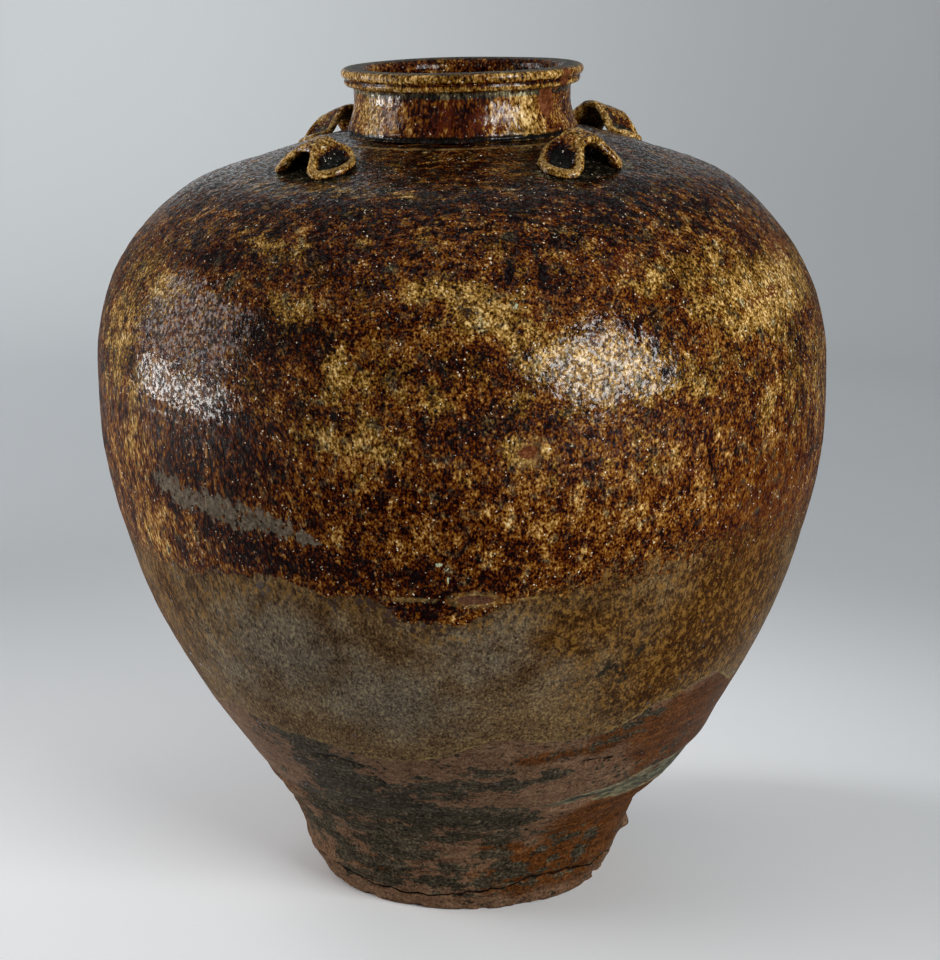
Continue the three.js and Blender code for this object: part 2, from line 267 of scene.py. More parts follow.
# Patches of each field: angle, height, half width, half height (mm), strength (or else 1), lean
# (degrees, or else 0)
PATCHES = {
    "gold": (
        (58, 319, 70, 19, 1.4, 4), (38, 334, 40, 10, 0.7, 8), (22, 298, 42, 20, 0.9, -12),
        (34, 288, 30, 12, 0.3, -4), (0, 329, 26, 10, 1, -6), (6, 318, 30, 8, 0.7, -10),
        (-16, 296, 13, 15, 0.8, 10), (-14, 262, 26, 12, 0.8, -6), (-64, 296, 26, 36, 0.55),
        (-53, 319, 18, 11, 0.9), (62, 268, 46, 30, 0.3), (-4, 285, 13, 6, 0.4),
        (-30, 366, 70, 6, 0.5), (14, 228, 60, 14, 0.2), (140, 300, 70, 26, 0.8, 5),
        (-58, 246, 20, 34, 0.3), (-120, 290, 60, 30, 0.6, -5), (180, 250, 60, 30, 0.5),
        (95, 300, 40, 26, 0.7), (9, 262, 14, 9, 0.7), (-26, 321, 12, 8, 0.4),
        (-33, 345, 26, 4, 0.4, 6), (24, 250, 40, 9, 0.3), (-55, 205, 26, 26, 0.5),
    ),
    "dark": (
        (-27, 309, 44, 14, 0.9, -4), (-33, 262, 40, 22, 0.7), (-40, 250, 44, 24, 1.1),
        (-18, 206, 60, 13, 1.4, -8), (-32, 212, 46, 16, 1.5, -8), (-6, 190, 20, 9),
        (14, 333, 18, 7, 0.9, -10), (7.8, 336, 3.4, 10, 3, -12), (13.2, 336, 3.4, 10, 3, -4),
        (26.4, 312, 2.4, 9, 2.6, -10), (28.8, 302, 2.4, 9, 3, -16), (30, 293, 3.6, 4, 3),
        (2, 275, 34, 9, 0.5, 4), (0, 300, 20, 10, 0.6), (-20, 341, 46, 10, 0.8, 6),
        (22, 348, 60, 8, 0.8, -4), (36, 341, 26, 5, 0.7, -8), (-44, 340, 40, 10, 0.9),
        (-2, 240, 40, 12, 0.2), (8, 218, 40, 10, 0.4), (-47, 226, 34, 10, 1.1, -6),
        (-9, 320, 12, 10), (8, 360, 80, 12, 0.8), (-14, 352, 60, 8, 0.7), (-150, 320, 60, 16, 0.8),
        (110, 250, 60, 18, 0.6), (170, 215, 60, 12, 0.8), (1, 203, 40, 7, 0.6),
        # Painted shade: the patches at 44 and 62 degrees darken the side that the right lamp lights
        # most
        (-18, 277, 34, 2.6, 1.2, -4), (44, 222, 50, 26, 0.2), (62, 250, 30, 60, 0.4),
        (-78, 270, 34, 70, 0.5), (-32, 240, 20, 8, 0.8), (-13, 331, 9, 3),
    ),
    "green": (
        (8.7, 350.6, 8, 3.4), (-38.5, 327, 5, 11, 0.9, -20), (-43, 337, 5, 5, 0.7, -30),
        (-11, 338.5, 6, 4, 0.8), (-160, 335, 8, 5, 0.8), (75, 340, 6, 4, 0.6),
    ),
    "satin": (
        (-49, 233, 12, 7), (-45, 230, 22, 7, 1.2, -8), (-37, 228, 22, 7, 1.3, -12),
        (-29, 225, 18, 6, 1.3, -14), (-23.5, 220, 11, 4, 1.2, -18),
    ),
    "stain": (
        (-43, 124, 16, 14, 1.2, -50), (-38, 110, 18, 18, 1.3, -50), (-33, 94, 24, 17, 1.3, -40),
        (-29, 80, 34, 16, 2, -20), (-24, 66, 48, 14, 2.4, -4), (-6, 62, 42, 13, 2.2),
        (8, 60, 20, 10, 1.4), (-16, 50, 44, 9, 1.3), (-26, 44, 30, 14, 1.2, -10),
        (-40, 60, 26, 20, 1.2, -10), (-4, 84, 20, 8, 1.2, 4), (-16, 78, 26, 9), (8, 86, 13, 6, 1.2),
        (17, 90, 12, 5, 1.2, 6), (3, 93, 10, 4, 0.8), (27, 118, 10, 4, 0.9, 8),
        (34, 119, 10, 5, 1.2, 14), (39, 120, 6, 3, 0.8, 10), (28, 108, 16, 2.4, 0.6, 6),
        (-36, 24, 20, 9, 1.4, -14), (-25, 25, 17, 7, 1.4), (-46, 31, 14, 10, 1.2),
        (-8, 17.5, 21, 4.6, 1.4), (-22, 36, 22, 8, 0.9), (-5, 29, 5, 5, 0.9), (9, 36, 9, 4, 1.2),
        (11, 29.5, 5, 6, 1.2), (17, 22, 9, 5, 1.2), (43, 28, 6, 5, 1.2, 30),
        (46, 34, 5, 6, 1.1, 20), (34, 39, 7, 3, 1, 20), (32, 27, 4, 3), (26, 34, 4, 3),
        (-8, 47, 50, 8, 1.2), (-58, 40, 22, 18, 0.7), (110, 60, 40, 12, 0.9),
        (-120, 50, 40, 14, 0.9), (175, 90, 50, 10, 0.8), (-150, 95, 20, 14, 0.7),
        (-10, 10, 50, 5, 0.6),
    ),
    "orange": (
        (-84, 90, 26, 50, 0.6), (-76, 45, 20, 34, 0.8), (50, 50, 46, 50, 2), (54, 105, 56, 32, 1.7),
        (40, 26, 56, 22, 1.6), (34, 112, 34, 10, 1, 6), (14, 38, 16, 8, 0.8),
        (100, 40, 30, 20, 0.8), (150, 110, 40, 16, 0.5), (-30, 24, 20, 6, 0.9),
        (22, 104, 40, 5, 0.8, 6),
    ),
    "bare": ((1.6, 193.8, 9, 2.6), (9, 262.4, 5.4, 3.4, 0.6, 14)),
    "halo": (
        (9, 261, 11, 9, 0.5), (1.5, 194, 15, 5.5, 0.9), (-8, 193.5, 16, 1.6, 0.9),
        (9.5, 193.6, 10, 1.4, 0.8),
    ),
    "pale": (
        (-3.6, 211, 2.2, 1.2), (-2.5, 208.6, 1, 2.6, 1, -20), (-2.3, 203.8, 0.9, 2.2, 1, 20),
        (15.2, 264.9, 1.2, 1.4, 0.8), (8.2, 323.5, 1.2, 2.4, 1, -20), (9.4, 326, 1, 1.4, 0.8),
    ),
    "smudge": (
        (24.5, 153, 9, 6, 1, 20), (29.4, 160, 6, 4, 0.9, 30), (27.5, 145, 6, 5, 0.8, 40),
        (-49, 160, 6, 4, 0.3),
    ),
    # Where the thin coat turns bluish grey or brown, the gold turns red, and droplets hang
    "cool": (
        (-30, 160, 44, 30, 0.9), (-14, 138, 44, 26, 0.8, -10), (4, 165, 36, 22, 0.4),
        (-45, 140, 30, 24, 0.5), (170, 150, 60, 24, 0.8),
    ),
    "warm": (
        (50, 175, 60, 50, 1.2, 10), (36, 150, 34, 30, 1, 20), (20, 175, 40, 18, 0.5, 10),
        (-70, 150, 26, 50, 0.8), (-60, 175, 22, 16, 0.6), (55, 222, 76, 46), (5, 205, 90, 24, 0.2),
        (110, 160, 60, 40, 0.8),
    ),
    "red": (
        (71, 333, 24, 7, 1, 6), (55, 317.5, 28, 3, 0.8, 5), (26, 338, 13, 7, 0.6),
        (33, 247, 20, 3, 0.5), (150, 300, 40, 8, 0.6),
    ),
    "drops": (
        (-15, 184, 26, 10, 1.6), (-5, 177, 18, 5, 1.4), (5, 184, 14, 4, 0.9),
        (-34, 192, 16, 6, 0.6),
    ),
}

# How far patterns are squeezed in height, as (angle, share) round the jar. The squeeze is taken
# about one height and ends at another (mm), above which one share holds
RUN = (
    (-180, 0.7), (-90, 0.6), (-60, 0.4), (-40, 0.42), (-18, 0.7), (20, 0.75), (60, 0.6), (130, 0.6),
    (180, 0.7),
)
RUN_FROM = 200.0
RUN_TOP = 272.0
TOP_SHARE = 0.85
# Streak of grey-green glaze caught in the crease: (angle, height, half height in mm)
STREAK = (
    (17, 68.8, 0.1), (21, 69.2, 1.4), (26, 70.6, 3.4), (36, 71.4, 5.6), (46.5, 73.4, 9),
    (58, 72.4, 9.5), (70, 72, 7), (84, 71, 2), (92, 71, 0.1),
)
# Short drying cracks in the clay: angle and height of both ends, in degrees and mm
CHECKS = (
    (-34.5, 96.5, -28.8, 97.6), (-28.8, 97.6, -22.8, 94), (24.5, 97, 31.5, 96),
    (-21.5, 90, -19.5, 84), (60, 52, 68, 50),
)


def spread(stations, angle):
    """The value of an (angle, value) list all round the jar, for angles in degrees."""
    table = np.array(stations, float)
    return np.interp(angle, table[:, 0], table[:, 1])


def patches(spots, angle, arc, radius):
    """How deep each point lies in the nearest of the spots: 1 in the middle, 0 at the edge."""

    def inside(centre, height, wide, tall, strength=1.0, lean=0):
        across = np.radians((angle - centre + 180) % 360 - 180) * radius
        up = arc - PROFILE.arc_at(height)
        c, s = math.cos(math.radians(lean)), math.sin(math.radians(lean))
        u, v = across * c + up * s, up * c - across * s
        return (1 - np.hypot(u / wide, v / tall)) * strength

    depth = np.full(np.shape(arc), -1.0)
    for spot in spots:
        depth = np.maximum(depth, inside(*spot))
    return depth


def crack_distance(angle, height, points):
    """Height in mm above the uneven crack that runs round the foot."""
    ragged = lumps(points, 7, 5) * 0.8 + lumps(points, 2.5, 21) * 0.3
    return height - spread(CRACK, angle) + ragged


def checks(angle, height, radius):
    """Distance in mm to the nearest drying crack."""
    best = np.full(np.shape(angle), 99.0)
    for a0, h0, a1, h1 in CHECKS:
        x = np.radians(angle - a0) * radius
        y = height - h0
        bx, by = np.radians(a1 - a0) * radius, h1 - h0
        t = np.clip((x * bx + y * by) / (bx * bx + by * by), 0, 1)
        best = np.minimum(best, np.hypot(x - t * bx, y - t * by))
    return best


def lug_place(angle, turn):
    """Centre of a lug and the direction of its strap, seen from above."""
    radial, heading = math.radians(angle), math.radians(angle + turn)
    centre = np.array([math.sin(radial), -math.cos(radial)]) * LUG_RADIUS
    return centre, (math.cos(heading), math.sin(heading))


def near_lugs(points):
    """How close each point of the shoulder lies to a lug's foot: 1 at it, 0 outside its pool."""
    best = np.full(points.shape[:-1], -1.0)
    for _, angle, turn, *_ in LUGS:
        centre, (c, s) = lug_place(angle, turn)
        x, y = points[..., 0] - centre[0], points[..., 1] - centre[1]
        along = np.abs(x * c + y * s) - LUG_SPAN * 0.3
        across = x * s - y * c
        away = np.hypot(np.maximum(along, 0), across) - PAW_WIDTH * 0.44
        best = np.maximum(best, 1 - np.maximum(away, 0) / LUG_POOL)
    return best


def skin_fields(angle, arc):
    """What the surface is like at each point of the outer wall, as named numbers."""
    radius, height, _, _ = PROFILE.at(arc)
    points = place(angle, radius, height)
    ragged = lumps(points, 9, 3) * 1.2 + lumps(points, 3.5, 4) * 0.5
    fade = spread(THICK_FADE, angle)
    by_neck = height > BY_NECK
    streak = np.array(STREAK)
    middle = np.interp(angle, streak[:, 0], streak[:, 1])
    half = np.interp(angle, streak[:, 0], streak[:, 2], left=0.01, right=0.01)
    run = (np.minimum(height, RUN_TOP) - RUN_FROM) * spread(RUN, angle)
    ridge = by_neck * bell(radius - SEAT_RIDGE, 0.9) * smooth(lumps(points, 9, 19), -0.8, 0.4)
    # Painted sheen: a grey-green tint over the whole shoulder top; round each lug the tint is glaze
    # pooled at its foot
    green_tint = np.maximum(0.12 * smooth(height, 350, 366), 1.1 * near_lugs(points))
    fields = {name: patches(spots, angle, arc, radius) for name, spots in PATCHES.items()}
    # Painted shade: the top of the shoulder is made darker
    fields["dark"] = np.maximum(fields["dark"], 0.7 * smooth(height, 340, 364) - 0.1)
    fields["green"] = np.maximum(fields["green"], green_tint)
    fields["halo"] = np.maximum(fields["halo"], 1.1 * ridge - 0.1)
    fields["drops"] = smooth(fields["drops"], 0, 0.5)
    crack_and_shade_lines = crack_distance(angle, height, points)
    return {
        **fields,
        "thick": (height - spread(THICK_EDGE, angle) + ragged * (1 + fade * 0.12)) / fade,
        "thin": height - spread(THIN_EDGE, angle) + ragged * 0.6,
        "low": smooth(height, 290, 225),
        "fall": MM * (RUN_FROM + run + np.maximum(height - RUN_TOP, 0) * TOP_SHARE),
        "streak": 1 - np.abs(height - middle) / np.maximum(half, 0.05),
        # Painted shade: round the neck this field darkens the seat groove; elsewhere it is the
        # crack round the foot
        "crack_and_shade_lines": np.where(by_neck, (radius - SEAT_GROOVE) * 0.5, crack_and_shade_lines),
        "check": checks(angle, height, radius),
        "edge": np.zeros(np.shape(arc)),
    }


def relief(angle, arc, fields):
    """How far the surface stands off the true profile, in mm."""
    radius, height, _, _ = PROFILE.at(arc)
    points = place(angle, radius, height)
    flat = points * (0.1, 0.1, 1.0)
    thick = fields["thick"]
    foot = 1 - smooth(height, 60, 100)
    grooved = smooth(height, 26, 38) * smooth(height, 76, 64)
    lift = lumps(points, 70, 1) * 0.35 + lumps(points, 24, 2) * 0.12
    lift += (lumps(flat, 2.6, 7) * 0.4 + lumps(flat, 1.6, 22) * 0.25) * grooved
    lift += lumps(flat, 5, 8) * (0.1 + 0.12 * foot) + lumps(points, 4, 9) * 0.1 * foot
    lift += 0.32 * smooth(thick, -0.4, 0.5) + 0.14 * np.exp(-((thick - 0.7) ** 2) * 3)
    lift += 0.12 * smooth(fields["thin"], -0.4, 0.8)
    lift += (lumps(points, 2.2, 10) * 0.045 + lumps(points, 5, 26) * 0.09) * smooth(thick, 0, 1)
    top = lumps(points, 8, 24) * 0.22 + lumps(points, 3.6, 25) * 0.08
    lift += top * smooth(height, 335, 355)
    lift -= opened(fields["crack_and_shade_lines"], points) + 0.9 * bell(fields["check"], 1.1)
    lift -= 0.4 * smooth(fields["bare"], 0, 0.3)
    fold = height - spread(CREASE, angle)
    deep = 0.35 + 0.65 * smooth(angle, 5, 45) * smooth(angle, 130, 95)
    lift += deep * (0.9 * bell(fold - 7, 7) - 1.1 * bell(fold + 1.5, 2.2))
    ridge = bell(radius - SEAT_RIDGE, 1.1) * smooth(lumps(points, 16, 18), -0.6, 0.3)
    lift += 0.35 * (height > BY_NECK) * ridge
    return lift + foot_damage(angle, height, points)


def opened(crack_and_shade_lines, points):
    """Depth in mm of a crack that gapes in places."""
    gaping = 0.4 + 0.6 * smooth(lumps(points, 14, 6), -0.6, 0.3)
    return 1.7 * bell(crack_and_shade_lines, 1.1) * gaping


def foot_damage(angle, height, points):
    """Chips along the slab's lower edge, a burr on the foot's right and a lip on its left."""
    side = smooth(angle, 24, 34) * smooth(angle, 84, 64)
    chips = side * smooth(lumps(points, 8, 15), -0.2, 0.6) * smooth(height, 10, 2)
    worn = smooth(lumps(points, 6, 16), -0.1, 0.8) * smooth(height, 6, 1)
    at, radius, up = BURR
    burr = bell(np.radians(angle - at) * radius, 7) * bell(height - up, 2.8)
    lip = smooth(angle, -110, -85) * smooth(angle, -35, -60) * bell(height - LIP_HEIGHT, 7)
    return 3.6 * burr + 2.2 * lip - 4.5 * chips - 1.6 * worn


def held_in(radius):
    """Eases the bumps of the belly in, so that none stands out past its widest ring."""
    over = np.maximum(radius - EASE_FROM, 0)
    room = PROFILE.radius.max() - EASE_FROM
    return np.minimum(radius, EASE_FROM) + room * (1 - np.exp(-over / room))


def outer_rings(low, high):
    """Rings of the outer wall between two heights, with their fields."""
    start, end = PROFILE.arc_at(low), PROFILE.arc_at(high)
    row = FOOT_ROW if high <= CREASE_SEAM else ROW
    arc = np.linspace(start, end, max(2, round((end - start) / row)))[:, None]
    angle, arc = np.broadcast_arrays(RING, arc)
    fields = skin_fields(angle, arc)
    lift = relief(angle, arc, fields)
    radius, height, out_r, out_z = PROFILE.at(arc)
    rings = place(angle, held_in(radius + lift * out_r), height + lift * out_z)
    return rings, fields


def inner_line(low, high):
    """Points (radius, height) of the inner wall from the higher seam down to the lower."""
    share = np.clip((PROFILE.height - SLAB_TOP) / (LOWER_STATION - SLAB_TOP), 0, 1)
    thick = FOOT_WALL + (WALL - FOOT_WALL) * share
    radius = PROFILE.radius - PROFILE.out[:, 0] * thick
    height = PROFILE.height - PROFILE.out[:, 1] * thick
    inside = np.interp([low, high], height, radius)
    keep = (height > low + 2) & (height < high - 2) & (radius > NECK_BORE + WALL)
    middle = np.stack([radius[keep], height[keep]], 1)
    rows = max(2, round(arc_length(middle)[-1] / INSIDE_ROW))
    line = [(inside[0], low), *evenly(middle, rows)]
    if high < SEAT:
        line.append((inside[1], high))
    return np.array(line)[::-1]


def plain_rings(line, bumps=0.3):
    """Rings from a line of (radius, height), with faint throwing ridges."""
    radius, height = line[:, 0][:, None], line[:, 1][:, None]
    points = place(RING, radius, height)
    lift = lumps(points * (0.08, 0.08, 1), 6, 30) * bumps
    return place(RING, radius + lift, height)


# Fields of what faces inwards, of bare clay and of dusty inner walls
INSIDE_LOOK = {
    **dict.fromkeys(PATCHES, -1.0), "dark": 0.6, "drops": 0.0, "low": 0.3, "streak": -1.0,
    "thick": 9.0, "thin": 99.0, "crack_and_shade_lines": 99.0, "check": 99.0, "edge": 0.0,
}
CLAY_LOOK = {"thick": -9.0, "thin": -99.0, "dark": -1.0}


def inside_fields(rings, **changes):
    look = {**INSIDE_LOOK, **changes}
    fields = {name: np.full(rings.shape[:2], value) for name, value in look.items()}
    fields["fall"] = rings[..., 2] * MM
    return fields


def stack(*parts):
    """Joins runs of rings, each given with its fields, into one run."""
    rings = np.concatenate([part[0] for part in parts])
    names = parts[0][1]
    return rings, {name: np.concatenate([part[1][name] for part in parts]) for name in names}


def linked(name, data):
    """A new object in the scene."""
    made = bpy.data.objects.new(name, data)
    bpy.context.scene.collection.objects.link(made)
    return made


def skin_mesh(name, rings, fields, caps=()):
    """A mesh over rings of points. Caps (centre point, row, whether it faces up) close its ends.
    Without them, the last ring joins the first."""
    rows, around = rings.shape[:2]
    verts = rings.reshape(-1, 3)
    cell = np.arange(rows * around).reshape(rows, around)
    if not caps:
        cell = np.vstack([cell, cell[:1]])
    a, b = cell[:-1], np.roll(cell[:-1], -1, axis=1)
    c, d = np.roll(cell[1:], -1, axis=1), cell[1:]
    faces = np.stack([a, b, c, d], -1).reshape(-1, 4).tolist()
    values = {key: value.reshape(-1) for key, value in fields.items()}
    for centre, row, up in caps:
        ring = cell[row]
        tip = len(verts)
        verts = np.vstack([verts, centre])
        values = {key: np.append(value, value[ring[0]]) for key, value in values.items()}
        pairs = np.stack([ring, np.roll(ring, -1)], 1)[:, :: 1 if up else -1]
        faces += [[tip, *pair] for pair in pairs.tolist()]
    mesh = bpy.data.meshes.new(name)
    mesh.from_pydata((verts * MM).tolist(), [], faces)
    mesh.shade_smooth()
    mesh.set_sharp_from_angle(angle=math.radians(50))
    for key, value in values.items():
        attribute = mesh.attributes.new(key, "FLOAT", "POINT")
        attribute.data.foreach_set("value", value.astype(np.float32))
    return linked(name, mesh)


def add_piece(piece, node, material):
    piece.data.materials.append(material)
    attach(piece, "root")
    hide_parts(node)


def base_slab():
    """The slab: bare underside, sloping side with the crack in it, and the hidden top."""
    edge = SLAB_FOOT - SLAB_CHAMFER
    out = np.linspace(6, edge, UNDER_ROWS)[:, None]
    wide, out = np.broadcast_arrays(RING, out)
    flat = np.zeros(out.shape)
    worn = foot_damage(wide, flat, place(wide, np.full(out.shape, edge), flat))
    under = place(wide, out + worn * smooth(out, 45, edge), flat)
    height = np.linspace(SLAB_CHAMFER, SLAB_TOP, SLAB_ROWS)[:, None]
    wide, height = np.broadcast_arrays(RING, height)
    rise = (height - SLAB_CHAMFER) / (SLAB_TOP - SLAB_CHAMFER)
    radius, start = SLAB_FOOT + (WALL_STATIONS[0][0] - SLAB_FOOT) * rise, np.zeros(height.shape)
    points = place(wide, radius, height)
    fields = inside_fields(points, **CLAY_LOOK)
    fields["crack_and_shade_lines"] = crack_distance(wide, height, points)
    for name in ("stain", "orange"):
        fields[name] = patches(PATCHES[name], wide, height - SLAB_TOP, radius)
    blend = smooth(height, SLAB_TOP - 3, SLAB_TOP)
    base = relief(wide, start, skin_fields(wide, start))
    lift = lumps(points, 5, 17) * 0.3 + lumps(points, 2, 23) * 0.15
    lift += foot_damage(wide, height, points) - opened(fields["crack_and_shade_lines"], points)
    side = place(wide, radius + lift * (1 - blend) + base * blend, height)
    top = plain_rings(np.array([[60.0, SLAB_TOP], [20.0, SLAB_TOP]]), 0.0)
    rings, fields = stack(
        (under, inside_fields(under, **CLAY_LOOK)), (side, fields),
        (top, inside_fields(top, **CLAY_LOOK)),
    )
    middle = SWAY[0][0]
    caps = (((middle, 0, 0), 0, False), ((middle, 0, SLAB_TOP), len(rings) - 1, True))
    return skin_mesh("base_slab_clay", rings, fields, caps)


def wall(name, low, high):
    """A section of the wall, glazed or bare outside and dusty inside."""
    inside = plain_rings(inner_line(low, high))
    rings, fields = stack(outer_rings(low, high), (inside, inside_fields(inside, **CLAY_LOOK)))
    return skin_mesh(name, rings, fields)


def shoulder():
    """The upper wall, with a shallow groove and a thin ridge round the neck, and its throat."""
    throat = plain_rings(np.array([[NECK_BORE, SEAT], [NECK_BORE, SEAT - WALL]]), 0.0)
    inside = plain_rings(inner_line(UPPER_SEAM, SEAT))
    rings, fields = stack(
        outer_rings(UPPER_SEAM, SEAT), (throat, inside_fields(throat)),
        (inside, inside_fields(inside)),
    )
    return skin_mesh("shoulder_wall_glaze", rings, fields)


def neck():
    """The neck and its rolled rim of two beads."""
    outside, inside = centripetal(NECK_OUTSIDE, NECK_ROWS), centripetal(NECK_INSIDE, BORE_ROWS)
    line = np.vstack([outside, inside]) + (0, SEAT)
    radius, height = line[:, 0][:, None], line[:, 1][:, None]
    points = place(RING, radius, height)
    lift = lumps(points, 22, 40) * 0.22 + lumps(points * (0.1, 0.1, 1), 2.6, 41) * 0.07
    lift += lumps(points, 3, 42) * 0.06 - 0.9 * bell(height - SEAT - 1.4, 1.3)
    rise = lumps(points * (1, 1, 0.01), 40, 43) * 0.3 * smooth(height, SEAT + 8, SEAT + 20)
    rings = place(RING, radius + lift, height + rise)
    row = np.arange(len(line))[:, None]
    wide, above, row = np.broadcast_arrays(RING, height - SEAT, row)
    ragged = lumps(rings * (1, 1, 0.5), 6, 44) * 0.3 + lumps(rings, 2.5, 45) * 0.2
    on_neck = 1 - np.hypot((wide - 49) / (4 + above * 0.22), (above - 17) / 7)
    on_rim = 1 - np.hypot((wide - 58) / 4.5, (above - 27.5) / 7)
    blots = np.maximum(1 - np.abs(wide + 2) / 24, 0.9 - np.abs(above - 26.6) / 1.2)
    blots = np.maximum(blots, 1.2 - np.hypot((wide - 66) / 5, (above - 28) / 4))
    # Painted light: the neck's gold is made lighter on the two sides that the lamps light
    lamp_lit_gold = np.maximum(0.7 - np.abs(wide + 56) / 34, 1 - np.abs(wide - 32) / 18) * (above < 22)
    bead = 1.1 * bell(above - 25, 1.2) + smooth(above, 27.6, 28.6) - 0.1
    outer = {
        "bare": (np.maximum(on_neck, on_rim) * 0.7 + ragged * 0.5 - 0.1, -1.0),
        "dark": (blots + ragged, 0.5),
        "gold": (np.maximum(lamp_lit_gold, bead), 0.0),
        "red": (0.55 - 0.6 * np.hypot((wide + 2) / 26, (above - 9) / 11) + ragged, -1.0),
        "green": (1.6 - np.hypot(wide / 90, (above - 21.8) / 1.2), -1.0),
        # Painted shade: a dark line in the groove at the neck's foot and in the groove between the
        # two beads
        "crack_and_shade_lines": (np.minimum(np.abs(above - 1.4) * 0.4, 0.35 + np.abs(above - 26.8) * 1.2), 99.0),
    }
    fields = inside_fields(rings, low=0.7)
    for name, (outside, inside) in outer.items():
        fields[name] = np.where(row < NECK_ROWS, outside, inside)
    fields["edge"] = smooth(above, 31.4, 32.6)
    fields["fall"] = (SEAT + above * (0.45 + 0.3 * smooth(np.abs(wide), 20, 60))) * MM
    return skin_mesh("neck_and_rim_glaze", rings, fields)


def strap_line(crest):
    """The middle line of a strap: distance along the shoulder and height above it, in mm."""
    half, rest = LUG_SPAN / 2, STRAP_THICKNESS / 2
    rise = crest - STRAP_THICKNESS
    side = [(-1, 0), (-0.64, 0), (-0.42, 0.5), (-0.2, 0.92)]
    shape = [*side, (0, 1), *[(-along, up) for along, up in side[::-1]]]
    return centripetal([(half * along, rest + rise * up) for along, up in shape], 121)


def lug(name, angle, turn, crest, strap, seed):
    """A strap bent into an arch, its two ends pressed out by a thumb into hollow paws."""
    line = strap_line(crest)
    step = tangents(line)
    u = np.linspace(-1, 1, len(line))
    share = np.sin(np.linspace(-math.pi / 2, math.pi / 2, STRAP_ROWS))
    line, step = (
        np.stack([np.interp(share, u, part[:, k]) for k in (0, 1)], 1) for part in (line, step)
    )
    u = share[:, None]
    round_the_strap = np.linspace(0, 2 * math.pi, STRAP_SIDES, endpoint=False)[None, :]
    c, s = np.cos(round_the_strap), np.sin(round_the_strap)
    across = np.sign(c) * np.abs(c) ** 0.6
    up = np.sign(s) * np.abs(s) ** 0.6
    reach = np.abs(u)
    paw = smooth(reach, 0.16, 0.56)
    end = np.clip((reach - 0.54) / 0.46, 0, 1)
    width = (strap + max(PAW_WIDTH - strap, 0) * paw) * np.sqrt(1 - 0.985 * end**2)
    q = across * width / 2
    ring = np.sqrt(across**2 * (1 - end**2) + end**2)
    on_top = smooth(up, -0.1, 0.5)
    hollow = PAW_HOLLOW * smooth(reach, 0.2, 0.6) * smooth(ring, 0.82, 0.3) * on_top
    lip = 0.8 * (0.3 + 0.7 * paw) * bell(ring - 0.84, 0.13) * on_top
    lift = up * STRAP_THICKNESS / 2 * (1 - 0.35 * end**2) - hollow + lip
    along = line[:, :1] - step[:, 1:] * lift
    height = np.maximum(line[:, 1:] + step[:, :1] * lift, -0.25)
    centre, (c, s) = lug_place(angle, turn)
    x = centre[0] + c * along + s * q
    y = centre[1] + s * along - c * q
    spot = np.stack([x, y, height], -1)
    uneven = lumps(spot, 6, seed) * 0.3 + lumps(spot, 2.6, seed + 20) * 0.15
    height = height + on_top * uneven
    away = np.hypot(x, y)
    rings = place(np.degrees(np.arctan2(x, -y)), away, PROFILE.shoulder(away) + height)
    fields = inside_fields(rings, dark=-1.0)
    ridge = smooth(ring, 0.62, 0.84) * (0.45 + 0.55 * paw) * smooth(up, -0.7, 0.2)
    fields["halo"] = 0.95 * bell(ring - 0.88, 0.1) * ridge - 0.35
    deep = 2.4 if strap < PAW_WIDTH - 5 else 1.2
    fields["dark"] = deep * smooth(reach, 0.2, 0.5) * smooth(ring, 0.75, 0.45) - 0.3
    fields["green"] = 1.7 * smooth(reach, 0.4, 0.6) * smooth(ring, 0.7, 0.3) - 0.3
    fields["gold"] = np.maximum(1.8 * ridge - 0.3, 0.4 * smooth(reach, 0.5, 0.1))
    # Painted shade: a dark line along the lug's foot, where it meets the shoulder
    fields["crack_and_shade_lines"] = np.maximum(height, 0) * 0.7 + 0.25
    caps = ((rings[0].mean(axis=0), 0, False), (rings[-1].mean(axis=0), len(line) - 1, True))
    fields = {key: value[:, ::-1] for key, value in fields.items()}
    return skin_mesh(name + "_strap", rings[:, ::-1], fields, caps)


def tone(code):
    """A colour from its hex code, as Blender's linear RGBA."""
    parts = [int(code[i : i + 2], 16) / 255 for i in (0, 2, 4)]
    return (*[c / 12.92 if c <= 0.04045 else ((c + 0.055) / 1.055) ** 2.4 for c in parts], 1.0)


